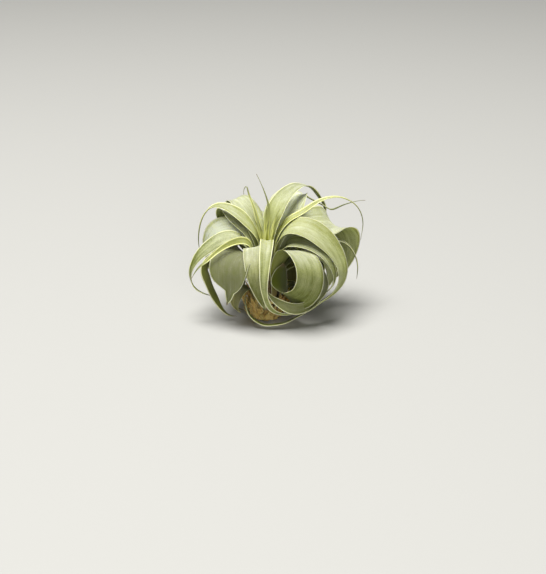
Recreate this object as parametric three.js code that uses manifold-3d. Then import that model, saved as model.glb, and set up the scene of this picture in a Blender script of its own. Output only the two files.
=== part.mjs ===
// An air plant (a Tillandsia of the xerographica kind), picked up whole: a short tapering stem that
// carries a rosette of channelled strap leaves, each one rising from the stem, arching out and curling
// down and under, and the torn papery sheaths of older leaves round its foot.
//
// Millimetres, +Z up. The origin is the middle of the stem's flat, dried foot, which the plant stands on.
// +X is to the viewer's right and -Y is towards the viewer.
import * as THREE from 'three';
import Module from 'manifold-3d';

// ---- driving dimensions ---------------------------------------------------------------------------
const STEM_FOOT_R = 9.6; // radius of the flat foot
const STEM_R = 10.1; // widest radius, just above the foot
const STEM_H = 66; // height of the growing point
const STEM_PROFILE = [ // [radius, height] from the middle of the foot to the growing point
  [0, 0], [STEM_FOOT_R, 0], [STEM_R, 1.2], [STEM_R, 13], [9.7, 19], [8.7, 27], [7.4, 35],
  [5.9, 43], [4.3, 50], [2.7, 57], [1.6, 63], [0, STEM_H],
];
const STEM_SIDES = 20;
const CLEARANCE = 0.3; // air between pieces that lie against each other
const STEP = 8.5; // length of leaf between two cross-sections
const STEPS = [6, 27]; // fewest and most steps along one leaf
const SAMPLES = 400; // places along a midrib at which its length is measured
const FINEST = 0.8; // narrowest width of a leaf tip
const THINNEST = 0.4; // thickness that no leaf goes below
const THINNING = 0.6; // share of its thickness that a leaf loses by its tip
const TOUCH = 0.0001; // overlap, in cubic mm, below which two leaves count as only touching
const BLADE = { base: 0.38, widest: 0.38, full: 1.5, cup: [50, 50, 110], thick: 1.2 };

// Every leaf is one row: name, azimuth in degrees (0 = +X, 90 = +Y), greatest width, its midrib, and
// what differs from BLADE. A point of the midrib is [out from the stem's axis, height, sideways
// (counter-clockwise), roll in degrees about the midrib]; what is left out is 0.
//   base    width at the stem, as a share of the greatest width
//   widest  place of the greatest width along the leaf, from 0 at the stem to 1 at the tip
//   full    how long the blade stays wide before it tapers
//   tail    [place, width, hold] where the blade ends and a thread-like tip begins, and how long that
//           holds its width
//   cup     how far the cross-section bends, in degrees, at the stem, at the widest place and the tip
//   thick   thickness in the middle of the leaf at its base
const LEAVES = [
  // The heart: the youngest blades, almost upright.
  ['heart_spike', 90, 3.6, [[3.6, 57], [3.8, 66, -0.8], [3.9, 80, -2], [4.2, 94, -2.4],
    [6, 107, 1], [8, 122, 7.6]], { base: 1, widest: 0.1, full: 1.0, cup: [40, 90, 60] }],
  ['heart_left', 148, 7, [[3.6, 57], [3.9, 64], [5.8, 72], [9, 84], [13.5, 97], [17.6, 107],
    [19.2, 110.5], [20.6, 109], [21.5, 103]], { base: 0.5, widest: 0.3, full: 1.0 }],
  ['heart_a', 126, 4.4, [[5.2, 50], [5.3, 58], [6.6, 68], [9.8, 79], [14, 88], [19, 96]],
    { base: 0.45, full: 1.2 }],
  ['heart_b', 92, 4, [[5.2, 50], [5.2, 58], [5.5, 68], [6.8, 78], [8.6, 88, -0.5], [10.5, 97, -2]],
    { base: 0.4, full: 1.2 }],
  ['heart_c', 203, 3.6, [[3.6, 57], [3.9, 64], [5, 72], [7.6, 81], [12, 90]], { base: 0.8, full: 1.2 }],
  ['heart_d', 20, 4.5, [[3.6, 57], [3.9, 64], [5, 73], [8, 84], [12.5, 94]], { base: 0.7, full: 1.2 }],
  ['heart_e', 285, 4.6, [[3.6, 57], [3.7, 62], [3.6, 68], [4, 76], [5.2, 86, 1.2]],
    { base: 0.8, full: 1.3 }],
  ['heart_f', 240, 4.2, [[5.2, 50], [5.3, 57], [5.3, 64], [6.2, 72], [8.6, 80], [12, 87]],
    { base: 0.5, full: 1.2 }],
  ['heart_g', 332, 4.4, [[5.2, 50], [5.3, 57], [5.3, 65], [6.6, 74], [9.6, 83], [14, 91]],
    { base: 0.5, full: 1.2 }],
  // The upper blades, which rise from the heart and arch over.
  ['crest_back_left', 130, 24, [[6.8, 43], [6.9, 53], [8.5, 63], [13, 74], [21, 84],
    [29.5, 91, 0, -2], [38.5, 93.3, 0, -4], [45.2, 88.5, 0, -6], [46.5, 76, 0, -6],
    [43.5, 67, 0, -5]], { base: 0.3, widest: 0.5, cup: [50, 20, 60] }],
  ['left_thread', 162, 13, [[5.2, 50], [5.3, 58], [6.6, 66], [10, 73, 0, -8], [15, 79, 0, -15],
    [23, 86.4, 0, -20], [32, 91.3, 0, -22], [41, 92.6, 0, -20], [48, 90.5, 0, -10], [53.3, 85],
    [56.7, 78], [58.9, 69], [59.7, 58.5], [58.5, 48]],
    { base: 0.2, widest: 0.36, full: 1.3, tail: [0.64, 3.4, 1.4] }],
  ['left_scroll', 152, 19, [[8.3, 35], [8.5, 46], [9.2, 57], [12.5, 67, 0, -8],
    [18, 75.5, 0, -20], [25, 81.2, 0, -24], [32, 85, 0, -16], [38.5, 86.5, -1.5, 2],
    [43, 83.5, -2.8, 20], [44.5, 77, -3.2, 30], [41.5, 71, -3, 30]],
    { base: 0.3, widest: 0.6, full: 2 }],
  ['top_right_arch', 46, 18, [[5.2, 50], [5.3, 58], [6, 67], [8, 77.5], [12, 89, 0, 8],
    [19, 98, 0, 15], [28, 103, 0, 18], [38, 105, 0, 12], [47, 103.5], [55, 99.5], [62, 92.5],
    [67.5, 86], [72, 79], [72, 71], [67, 65]],
    { base: 0.24, widest: 0.32, full: 1.0, tail: [0.66, 7, 2], cup: [50, 50, 70] }],
  ['right_thread', 12, 7, [[6.8, 43], [6.9, 53], [7.6, 62, 0, 5], [10.5, 71.5, 0, 10],
    [20, 84, 0, 22], [30, 89.2, 0, 30], [38.5, 94.5, 0, 30], [44.5, 97.8, 0, 25],
    [51, 99.9, 0, 15], [57, 100.6, 0, 5], [63.3, 100], [69.7, 97.4], [75, 93.8], [79.3, 88.5],
    [82, 82], [83, 75.5], [82.4, 68], [81.4, 61]],
    { base: 0.45, widest: 0.3, full: 1.1, tail: [0.7, 2.6, 1.4] }],
  ['back_right_pale', 52, 33, [[8.3, 35], [8.5, 46], [9.2, 57], [12, 68, 0, 4],
    [19, 79.5, 0, 10], [29, 89, 0, 12], [40, 94.5, 0, 8], [50, 94], [57.5, 89.3, -1],
    [62.4, 85.6, -4.5], [65, 82.4, -11.5], [63.6, 81.2, -19.5], [61.2, 84.2, -27], [61, 89, -35],
    [62.2, 92.8, -43], [63.2, 95.5, -50.4], [63.5, 96.7, -55.5]],
    { base: 0.2, widest: 0.36, full: 2.4, tail: [0.56, 3.2, 1.3] }],
  // The blades of the front and the two sides, which curl down and under.
  ['left_shoulder', 152, 25, [[9.6, 27], [9.8, 38], [10.1, 50], [11.6, 60],
    [17.8, 69.3, 1.5, -4], [28.5, 73.5, 6.5, -22], [36.8, 71.5, 9.5, -30], [44.3, 63.5, 11, -26],
    [48.4, 50, 10.5, -12], [47.3, 38, 9.2], [41, 29, 7.3]], { base: 0.2, widest: 0.62, full: 2 }],
  ['left_arch', 190, 17, [[10.6, 19], [11, 29], [11.1, 44], [12.4, 53.6, 0, -5],
    [16.6, 62.2, 0, -7], [22, 68.4, 0, -14], [30, 70.6, 0, -24], [38, 69, 0, -25],
    [46.5, 64, 0, -26], [54.2, 57.5, 0, -24], [60.3, 49, 0, -18], [63, 39, 0, -8], [61, 31],
    [53, 23.8], [45.5, 20.4]],
    { base: 0.26, widest: 0.45, full: 1.5, tail: [0.84, 4.5, 2], cup: [50, 50, 80] }],
  ['left_ribbon', 208, 7.5, [[9.6, 28], [9.8, 40], [10.5, 51, 0, -10], [13, 62, 0, -30],
    [19, 69.5, 0, -55], [27, 71, 0, -65], [40, 67.6, 0, -65], [48.5, 62.8, 0, -65],
    [55.3, 58, 0, -65], [60.5, 55, 0, -65], [68.5, 45.5, 0, -65]], { widest: 0.3 }],
  ['left_sickle', 200, 11, [[11, 12], [12.3, 20], [14, 35], [19, 48, 0, 5], [29, 54, -1, 15],
    [40, 56.5, -3.8, 35], [48.7, 53.5, -3.6, 50], [52.3, 47.5, -1.5, 60], [51, 40.6, 0, 60],
    [47.3, 29.4, 0, 60], [42.7, 19.3, 0, 60], [38.5, 11.3, 0, 50], [33, 5, 0, 35],
    [26, 2.4, 0, 20]], { base: 0.25, widest: 0.6, full: 1.9, cup: [50, 50, 70] }],
  ['front_left_blade', 223, 36, [[10.6, 19], [11.7, 29], [12.8, 43], [16.2, 54, -0.5, -4],
    [23, 61, -1.5, -12], [31.5, 61, -2.5, -21], [38.5, 56, -0.6, -21], [42, 47.5, 2.4, -18],
    [42.6, 37.6, 3.6, -16], [43, 29, 2.2, -12], [43, 20.5, -1.2, -8]],
    { base: 0.17, widest: 0.6, full: 2.6, tail: [0.86, 9, 1.3], cup: [45, 30, 60] }],
  ['front_strap', 270, 19, [[8.7, 35, -3], [8.7, 46, -4.5], [9.7, 57, -6.5], [12.6, 65, -8.2],
    [18, 67.5, -9.3], [26, 65, -9.6], [33.5, 59.5, -9.3], [37.6, 52, -8.6], [38.2, 44, -7.4],
    [36.8, 36, -5.6], [34.5, 28, -3.6], [31.5, 21, -1.6], [28, 15.5, 0.5]],
    { base: 0.4, widest: 0.3, full: 2.0, cup: [50, 28, 60] }],
  ['front_ribbon', 270, 11.5, [[6.8, 43], [6.9, 53], [8, 62, 0.5], [11.5, 69.5, 0.8],
    [17, 73.2, 1], [23, 72.5, 0.8], [30.5, 68.5, 0.2], [37, 61.5, -0.6], [41.3, 53, -1.2],
    [42.3, 44, -1.4], [41, 36, -0.8], [38.5, 28, 0.9], [35, 20.5, 4.2], [31.5, 15.3, 9.5],
    [29.5, 13.2, 16], [29, 14, 23], [29.5, 17.4, 30]],
    { base: 0.45, widest: 0.3, full: 1.3, tail: [0.66, 4.8, 3], cup: [50, 36, 50] }],
  ['right_sweep', -12, 24, [[8.3, 35], [8.5, 46], [9.2, 57, 0, 2], [11.5, 67.5, 0, 6],
    [16, 75, 0, 12], [22.5, 79.3, 0, 20], [30, 80.1, 0, 25], [38, 77.8, 0, 27],
    [46, 72.8, 0, 28], [53.5, 65.8, 0, 25], [59.3, 57.5, -1, 20], [63.6, 48.5, -4, 12],
    [63.8, 39, -6.5, 5], [60, 31, -8.5], [53.1, 24.5, -11.2], [47.4, 20.4, -13.4],
    [38.9, 14.2, -17.3, -10], [30.4, 10.1, -21.1, -18], [23, 6.6, -24.6, -26],
    [13.3, 4.6, -27.8, -30], [4.9, 4.2, -28.9, -34], [-2, 7, -29.3, -38], [-7.4, 12, -29.4, -40],
    [-10.3, 19.2, -29, -40], [-11.1, 25.9, -28, -40], [-8.9, 31.4, -26.4, -40]],
    { base: 0.3, widest: 0.3, full: 1.5, tail: [0.62, 6.2, 3], cup: [50, 50, 60] }],
  ['right_under_sweep', -23, 16, [[9.6, 27], [9.9, 39], [11.2, 51, 0, 2], [15.9, 60.4, 0, 5],
    [20, 66, 0, 12], [28, 68.7, 0, 16], [36, 68.5, 0, 16], [44, 66, 0, 14], [52, 60.5, 0, 12],
    [58, 52, 0, 8], [60.5, 43], [58, 34], [51, 27]], { base: 0.28, widest: 0.45 }],
  ['front_ring', -47, 26, [[10.6, 19], [11.3, 29], [12, 43, 0.4, -2], [16, 53.5, 1.6, -4],
    [22.5, 61.5, 3, -7], [32, 65.5, 2, -10], [42, 64, 1, -6], [50, 57.5, 0, 2], [53, 49, -1, 8],
    [51.3, 39.4, -2, 16], [44.5, 30.4, -3, 28], [34, 25.6, -3.5, 34], [24, 28, -2.5, 26],
    [17.6, 35.5, 0, 12], [16.4, 45, 2, 4], [18.5, 51.5, 3]],
    { base: 0.27, widest: 0.42, full: 9, cup: [50, 25, 25] }],
  ['front_low_band', -13, 14, [[11, 12], [12.3, 20], [13.6, 36, 1], [21.8, 44.2, 1.8],
    [31, 48, 0.6], [41, 46], [48, 39], [50, 33, -2], [47, 27, -9], [41.4, 22.4, -15.7],
    [35.8, 20.1, -22.1, 5], [27.6, 20.6, -27.4, 14], [18.8, 24.4, -29.4, 20],
    [11.4, 29.4, -29.4, 20], [6.8, 35, -28.6, 12]], { base: 0.3, widest: 0.5, full: 3.2 }],
  ['right_scroll', 24, 33, [[9.6, 27], [9.7, 39], [10.2, 51], [15, 61.5, 0, 10],
    [24, 68.8, 0, 25], [34, 73.6, 0, 36], [45, 75.4, 0, 40], [54, 74.5, 0.5, 36],
    [61, 72.3, 1.5, 16], [66.5, 68.6, 2, -6], [70.5, 63, 2, -28], [73, 56, 1.5, -45],
    [73.5, 47, 1, -55], [71.5, 37.5, 0, -57], [67, 28.5, 0, -55], [60, 22.5, 0, -50]],
    { base: 0.2, widest: 0.6, full: 2 }],
  ['right_inner', 12, 9.5, [[10.6, 19], [11.3, 29], [12, 43], [18, 54], [30, 60], [45, 62.5],
    [58, 63], [67, 60, -1], [73.5, 53, -2], [77.5, 44, -2.6], [78.5, 34, -2.7], [78, 27, -2.7]],
    { base: 0.25, widest: 0.58, full: 1.3 }],
  ['right_mid', 11, 18, [[11, 12], [12.4, 21], [14.2, 36], [18.5, 46, -0.5], [27, 52, -1.5],
    [38, 53.5, -3, 10], [48.5, 50.5, -3, 30], [54, 42, -3, 45], [53.5, 31, -3, 48],
    [48, 22, -3, 45], [40, 16, -3, 35]], { base: 0.16, widest: 0.66 }],
  // The blades of the far side.
  ['back_a', 32, 23, [[10.6, 19], [11.3, 29], [13.6, 43], [20, 52], [31, 55], [42, 50.5],
    [50, 40], [51, 27], [45, 15], [36, 8]], { base: 0.2, widest: 0.55 }],
  ['back_b', 84, 24, [[11, 12], [12.3, 20], [18, 33.5], [30, 38], [42, 35], [49, 25], [48, 14],
    [40, 6], [30, 2.4]], { base: 0.2, widest: 0.5 }],
  ['back_c', 124, 22, [[11, 12], [12.3, 20], [17, 33.5], [26, 38], [35, 34], [40, 24], [39, 13],
    [33, 5], [25, 2.4]], { base: 0.2, widest: 0.5 }],
  ['back_d', 98, 25, [[10.6, 19], [11.3, 29], [13.5, 42], [22, 51], [34, 54], [46, 49], [54, 38],
    [55, 25], [48, 14], [38, 8]], { base: 0.2, widest: 0.55 }],
  ['back_e', 63, 25, [[10.6, 19], [11.5, 29], [15.3, 44], [18.6, 55], [28, 64], [41, 65.5],
    [53, 58], [60, 45], [58, 30], [49, 20]], { base: 0.2, widest: 0.6 }],
  ['back_f', 138, 24, [[10.6, 19], [11.3, 29], [12.5, 43], [18, 53.5], [27, 60], [37, 57.5],
    [43.5, 47], [43.5, 33], [37, 22]], { base: 0.2, widest: 0.6 }],
  ['back_g', 82, 26, [[9.6, 27], [9.9, 39], [11.5, 51], [18, 63], [29, 72], [43, 75], [56, 69],
    [64, 57], [65, 43], [59, 32]], { base: 0.2, widest: 0.55 }],
  ['back_h', 121, 24, [[9.6, 27], [10.2, 39], [12.4, 50], [18, 60], [28, 67], [40, 65.9],
    [50, 61], [55, 49], [53, 36], [46, 27]], { base: 0.2, widest: 0.55 }],
  // Short old blades near the foot.
  ['low_left', 216, 19, [[11, 12], [12.2, 17], [14.8, 25], [19.6, 29.6], [25.6, 28.6],
    [29.5, 22.6], [29.5, 14.6], [25.2, 7.6]], { base: 0.25, widest: 0.5, full: 2 }],
  ['low_right', 54, 25, [[11, 12], [12.3, 20], [14.5, 34], [18.5, 43], [25.5, 45], [31.5, 40],
    [34, 30], [33, 19], [28, 9], [20, 4]], { base: 0.2, widest: 0.6 }],
  ['low_right_front', 25, 17, [[11, 12], [12.2, 16], [16, 21.5], [23, 23], [30, 20.5], [33, 14],
    [31, 7.5], [25, 4]], { base: 0.22, widest: 0.5 }],
  ['low_back_left', 163, 12, [[11, 12], [12.3, 20], [16, 32], [24, 35], [31, 31], [34, 22],
    [32, 12], [26, 4], [19, 2]], { base: 0.4, widest: 0.5 }],
];

// What is left of the outermost, dead leaves: short stiff papery scales that clasp the foot.
const SHEATHS = [
  ['dry_sheath_a', -96, 15, [[11, 0.9], [11.7, 7], [13, 14], [15.2, 21]],
    { base: 0.8, widest: 0.35, full: 2.4, cup: [66, 58, 40], thick: 1.1 }],
  ['dry_sheath_b', -24, 12, [[11, 0.9], [11.6, 5], [12.6, 9], [14.2, 13]],
    { base: 0.8, widest: 0.35, full: 2.4, cup: [60, 55, 40], thick: 1.1 }],
  ['dry_sheath_c', 48, 12, [[11, 0.9], [11.6, 4.5], [12.6, 8], [14, 11]],
    { base: 0.8, widest: 0.35, full: 2.4, cup: [60, 55, 40], thick: 1.1 }],
  ['dry_sheath_d', 120, 12, [[11, 0.9], [11.6, 5], [12.6, 9], [14.2, 13]],
    { base: 0.8, widest: 0.35, full: 2.4, cup: [60, 55, 40], thick: 1.1 }],
  ['dry_sheath_e', 192, 12, [[11, 0.9], [11.6, 4.5], [12.6, 8.5], [14, 12]],
    { base: 0.8, widest: 0.35, full: 2.4, cup: [60, 55, 40], thick: 1.1 }],
  ['dry_sheath_f', -62, 13, [[12, 0.9], [14.2, 6], [16.6, 13], [20, 19.5]],
    { base: 0.8, widest: 0.35, full: 2.2, cup: [54, 50, 30], thick: 1.1 }],
  ['dry_sheath_g', -122, 17, [[12.1, 0.9], [14.2, 7], [15.8, 14], [17.6, 20.5], [20, 26]],
    { base: 0.62, widest: 0.4, full: 2.2, cup: [60, 55, 30], thick: 1.1 }],
  ['dry_sheath_h', 10, 11, [[11.9, 0.9], [13.8, 4], [15.2, 8], [17, 11.5]],
    { base: 0.8, widest: 0.35, full: 2.2, cup: [50, 50, 30], thick: 1.1 }],
];

// Colours by group: silvery grey-green blades, yellow-green heart, dull dark green low leaves, straw.
const GREY_GREEN = { color: 0xa9b58c, roughness: 0.78, metalness: 0 };
const YELLOW_GREEN = { color: 0xb4bb6c, roughness: 0.7, metalness: 0 };
const DARK_GREEN = { color: 0x66713f, roughness: 0.8, metalness: 0 };
const STRAW = { color: 0xa98445, roughness: 0.9, metalness: 0 };
const STEM_BROWN = { color: 0x5f4a2c, roughness: 0.95, metalness: 0 };

// ---- curves ---------------------------------------------------------------------------------------
const rad = THREE.MathUtils.degToRad;
const smooth = (x) => THREE.MathUtils.smoothstep(x, 0, 1);

// A natural cubic spline through rows of numbers, the first three of them a place. Its second
// derivative is continuous, so a long leaf bends as evenly as a strip of spring steel.
function spline(rows) {
  const last = rows.length - 1;
  const t = [0];
  for (let i = 0; i < last; i++) {
    t.push(t[i] + Math.hypot(...[0, 1, 2].map((k) => rows[i + 1][k] - rows[i][k])));
  }
  const bends = rows[0].map((_, k) => {
    const diag = new Array(last + 1).fill(1);
    const right = new Array(last + 1).fill(0);
    const upper = new Array(last + 1).fill(0);
    for (let i = 1; i < last; i++) {
      const a = t[i] - t[i - 1];
      const b = t[i + 1] - t[i];
      const slope = (rows[i + 1][k] - rows[i][k]) / b - (rows[i][k] - rows[i - 1][k]) / a;
      diag[i] = 2 * (a + b) - a * upper[i - 1];
      upper[i] = b / diag[i];
      right[i] = (6 * slope - a * right[i - 1]) / diag[i];
    }
    for (let i = last - 1; i > 0; i--) right[i] -= upper[i] * right[i + 1];
    return right;
  });
  return (share) => {
    const x = share * t[last];
    let i = 0;
    while (i < last - 1 && x > t[i + 1]) i++;
    const h = t[i + 1] - t[i];
    const a = t[i + 1] - x;
    const b = x - t[i];
    return rows[0].map((_, k) => {
      const m = bends[k];
      return (m[i] * a ** 3 + m[i + 1] * b ** 3) / (6 * h)
        + (rows[i][k] / h - m[i] * h / 6) * a + (rows[i + 1][k] / h - m[i + 1] * h / 6) * b;
    });
  };
}

// The midrib in even steps, each with its frame: `along` the leaf, `across` it, and `up` out of its
// upper face. The frame is carried along without twisting, and the roll is added to it.
function midrib([, azimuth, , path]) {
  const a = rad(azimuth);
  const [cos, sin] = [Math.cos(a), Math.sin(a)];
  const at = spline(path.map(([out, height, side = 0, roll = 0]) =>
    [out * cos - side * sin, out * sin + side * cos, height, roll]));
  const fine = Array.from({ length: SAMPLES + 1 }, (_, i) => at(i / SAMPLES));
  const run = [0];
  for (let i = 1; i <= SAMPLES; i++) {
    run.push(run[i - 1] + Math.hypot(...[0, 1, 2].map((k) => fine[i][k] - fine[i - 1][k])));
  }
  const steps = THREE.MathUtils.clamp(Math.round(run[SAMPLES] / STEP), ...STEPS);
  const points = [];
  for (let n = 0, j = 0; n <= steps; n++) {
    const goal = (n / steps) * run[SAMPLES];
    while (j < SAMPLES - 1 && run[j + 1] < goal) j++;
    const f = (goal - run[j]) / (run[j + 1] - run[j]);
    const row = fine[j].map((v, k) => v + f * (fine[j + 1][k] - v));
    points.push({ u: n / steps, place: new THREE.Vector3(...row), roll: rad(row[3]) });
  }
  let across = new THREE.Vector3(-sin, cos, 0);
  points.forEach((p, n) => {
    const before = points[Math.max(n - 1, 0)].place;
    const after = points[Math.min(n + 1, steps)].place;
    p.along = after.clone().sub(before).normalize();
    across = across.clone().addScaledVector(p.along, -across.dot(p.along)).normalize();
    p.across = across.clone().applyAxisAngle(p.along, p.roll);
    p.up = p.along.clone().cross(p.across);
  });
  return points;
}

// Width, bend of the cross-section and thickness at the share u of a leaf's length.
function section(leaf, u) {
  const shape = { ...BLADE, ...leaf[4] };
  const [end, thread, hold = 1] = shape.tail ?? [1, 0];
  const rise = shape.base + (1 - shape.base) * smooth(u / shape.widest);
  const fall = THREE.MathUtils.clamp((u - shape.widest) / (end - shape.widest), 0, 1);
  const width = u <= end
    ? thread + (leaf[2] * rise - thread) * (1 - fall ** shape.full)
    : thread * (1 - ((u - end) / (1 - end)) ** hold);
  const [foot, middle, tip] = shape.cup;
  const cup = u < shape.widest
    ? THREE.MathUtils.lerp(foot, middle, smooth(u / shape.widest))
    : THREE.MathUtils.lerp(middle, tip, smooth(fall));
  return {
    width: Math.max(width, FINEST),
    cup: rad(cup),
    thick: Math.max(shape.thick * (1 - THINNING * u), THINNEST),
  };
}

// ---- solids ---------------------------------------------------------------------------------------
const wasm = await Module();
wasm.setup();

// One leaf as a closed shell: lens-shaped cross-sections, thick along the midrib and thin at both
// margins, bent into a channel. `grow` makes it larger all round, for what has to keep clear of it,
// and gives it blunt margins.
function blade(leaf, grow = 0) {
  const parts = leaf[2] >= 10 ? 4 : 2; // flats across the upper face
  const points = midrib(leaf);
  const place = [];
  points.forEach((p, n) => {
    const { width, cup, thick } = section(leaf, p.u);
    const ahead = n === 0 ? -grow : n + 1 === points.length ? grow : 0;
    const radius = (width + 2 * grow) / cup;
    const put = (v, side) => {
      const r = radius - side * (grow + (thick / 2) * (1 - v * v));
      const turn = (v * cup) / 2;
      const q = p.place.clone().addScaledVector(p.along, ahead)
        .addScaledVector(p.across, Math.sin(turn) * r)
        .addScaledVector(p.up, radius - Math.cos(turn) * r);
      place.push(q.x, q.y, q.z);
    };
    const end = grow > 0 ? 0 : 1; // sharp margins are shared by both faces
    for (let i = 0; i <= parts; i++) put((2 * i) / parts - 1, 1);
    for (let i = parts - end; i >= end; i--) put((2 * i) / parts - 1, -1);
  });
  const ring = place.length / 3 / points.length;
  const faces = [];
  for (let n = 0; n + 1 < points.length; n++) {
    for (let i = 0; i < ring; i++) {
      const [a, b] = [n * ring + i, n * ring + ((i + 1) % ring)];
      const [c, d] = [a + ring, b + ring];
      // Both faces are split along the same diagonal, so a twisted leaf keeps its thickness.
      if (i < parts) faces.push(a, d, b, a, c, d);
      else faces.push(a, c, b, b, c, d);
    }
  }
  // Each end is closed by a strip between the upper face and the lower one.
  const far = (points.length - 1) * ring;
  const below = (i) => (grow > 0 ? ring - 1 - i : (ring - i) % ring);
  for (let i = 0; i < parts; i++) {
    for (const [a, b, c] of [[i, i + 1, below(i + 1)], [i, below(i + 1), below(i)]]) {
      if (a !== c && b !== c) faces.push(a, b, c, far + a, far + c, far + b);
    }
  }
  return new wasm.Manifold(new wasm.Mesh({
    numProp: 3, vertProperties: new Float32Array(place), triVerts: new Uint32Array(faces),
  }));
}

function toMesh(name, solid, look) {
  const { vertProperties, triVerts, numProp } = solid.getMesh();
  const geometry = new THREE.BufferGeometry();
  const place = new Float32Array((vertProperties.length / numProp) * 3);
  for (let i = 0; i < place.length / 3; i++) {
    for (let k = 0; k < 3; k++) place[3 * i + k] = vertProperties[i * numProp + k];
  }
  geometry.setAttribute('position', new THREE.BufferAttribute(place, 3));
  geometry.setIndex(new THREE.BufferAttribute(triVerts, 1));
  geometry.computeVertexNormals();
  const mesh = new THREE.Mesh(geometry, new THREE.MeshStandardMaterial(look));
  mesh.name = name;
  return mesh;
}

const near = (a, b) => [0, 1, 2].every((k) => a.min[k] < b.max[k] && b.min[k] < a.max[k]);
const largest = (solid) => solid.decompose().sort((a, b) => b.volume() - a.volume())[0];

// ---- the plant ------------------------------------------------------------------------------------
const plant = new THREE.Group();

// The stem: a short dried stump that narrows as the leaves leave it, on a flat foot.
const stem = new THREE.Mesh(
  new THREE.LatheGeometry(STEM_PROFILE.map(([r, z]) => new THREE.Vector2(r, z)), STEM_SIDES),
  new THREE.MeshStandardMaterial(STEM_BROWN),
);
stem.name = 'stem';
stem.geometry.rotateX(Math.PI / 2); // the lathe turns about Y; the stem stands along Z
plant.add(stem);

// The leaves, from the heart outwards. Where the feet of two leaves press together, the outer one
// gives way to the inner one, as they do in the crowded rosette.
const lookOf = (name) => {
  if (name.startsWith('heart')) return YELLOW_GREEN;
  if (name.startsWith('low') || name === 'left_sickle') return DARK_GREEN;
  return name.startsWith('dry') ? STRAW : GREY_GREEN;
};
const kept = [];
for (const leaf of [...LEAVES, ...SHEATHS]) {
  let solid = blade(leaf);
  for (const other of kept) {
    if (!near(solid.boundingBox(), other.boundingBox())) continue;
    if (solid.intersect(other).volume() > TOUCH) solid = largest(solid.subtract(other));
  }
  kept.push(blade(leaf, CLEARANCE));
  plant.add(toMesh(leaf[0], solid, lookOf(leaf[0])));
}

export default plant;
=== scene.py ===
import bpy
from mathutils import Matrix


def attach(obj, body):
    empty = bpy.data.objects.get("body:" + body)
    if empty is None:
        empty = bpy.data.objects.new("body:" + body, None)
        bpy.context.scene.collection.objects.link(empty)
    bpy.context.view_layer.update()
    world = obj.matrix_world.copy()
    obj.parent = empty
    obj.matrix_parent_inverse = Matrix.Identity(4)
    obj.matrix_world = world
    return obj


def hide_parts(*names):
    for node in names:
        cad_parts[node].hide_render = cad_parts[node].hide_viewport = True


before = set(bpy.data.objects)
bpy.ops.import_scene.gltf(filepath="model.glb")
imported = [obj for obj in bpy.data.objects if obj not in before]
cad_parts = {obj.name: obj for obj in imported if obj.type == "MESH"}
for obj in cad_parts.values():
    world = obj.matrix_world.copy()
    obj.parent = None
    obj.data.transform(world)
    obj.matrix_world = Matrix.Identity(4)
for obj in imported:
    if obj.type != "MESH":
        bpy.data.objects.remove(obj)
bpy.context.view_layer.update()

import math
import random

import bpy
import numpy as np
from mathutils import Vector, noise

MM = 0.001

# ---- Camera, floor and light ------------------------------------------------------------------------
# The plant stands on a plain pale floor. The eye is straight in front and looks down on it a little,
# and the light is that of an overcast sky: broad, soft and from above.
EYE_DISTANCE = 1.138
EYE_ELEVATION = math.radians(22)
AIM = Vector((0.0059, 0, 0.0254))

back = Vector((0, -math.cos(EYE_ELEVATION), math.sin(EYE_ELEVATION)))
camera = bpy.data.objects.new("camera", bpy.data.cameras.new("camera"))
camera.data.lens = 85
camera.data.sensor_width = 36
camera.location = AIM + back * EYE_DISTANCE
camera.rotation_euler = (-back).to_track_quat("-Z", "Y").to_euler()
bpy.context.scene.collection.objects.link(camera)
bpy.context.scene.camera = camera


def new_material(name, **plain):
    """A material with those plain values on its shader, and the shader's node tree."""
    material = bpy.data.materials.new(name)
    material.use_nodes = True
    shader = material.node_tree.nodes["Principled BSDF"]
    for label, value in plain.items():
        shader.inputs[label.replace("_", " ")].default_value = value
    return material, material.node_tree, shader


FLOOR_HALF = 6.0
floor_mesh = bpy.data.meshes.new("floor")
floor_mesh.from_pydata(
    [(x * FLOOR_HALF, y * FLOOR_HALF, 0) for x, y in ((-1, -1), (1, -1), (1, 1), (-1, 1))],
    [], [(0, 1, 2, 3)],
)
floor = bpy.data.objects.new("floor", floor_mesh)
bpy.context.scene.collection.objects.link(floor)
floor.data.materials.append(
    new_material("floor_paint", Base_Color=(0.42, 0.42, 0.41, 1), Roughness=0.85)[0]
)

world = bpy.data.worlds.new("sky")
world.use_nodes = True
sky = world.node_tree.nodes["Background"]
sky.inputs["Color"].default_value = (0.98, 1.0, 0.86, 1)
sky.inputs["Strength"].default_value = 0.08
bpy.context.scene.world = world
bpy.context.scene.view_settings.view_transform = "Standard"


def softbox(name, place, aim, size, power, colour):
    lamp = bpy.data.objects.new(name, bpy.data.lights.new(name, "AREA"))
    lamp.data.shape = "DISK"
    lamp.data.size = size
    lamp.data.energy = power
    lamp.data.color = colour
    lamp.location = place
    lamp.rotation_euler = (Vector(aim) - Vector(place)).to_track_quat("-Z", "Y").to_euler()
    bpy.context.scene.collection.objects.link(lamp)


softbox(
    "sky_light", place=(-0.5, -0.3, 2.9), aim=(0, 0, 0.06), size=2.2, power=172,
    colour=(1.0, 0.985, 0.95),
)
softbox(
    "front_fill", place=(0.5, -2.4, 0.9), aim=(0, 0, 0.03), size=1.2, power=21,
    colour=(1.0, 0.99, 0.95),
)

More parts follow.
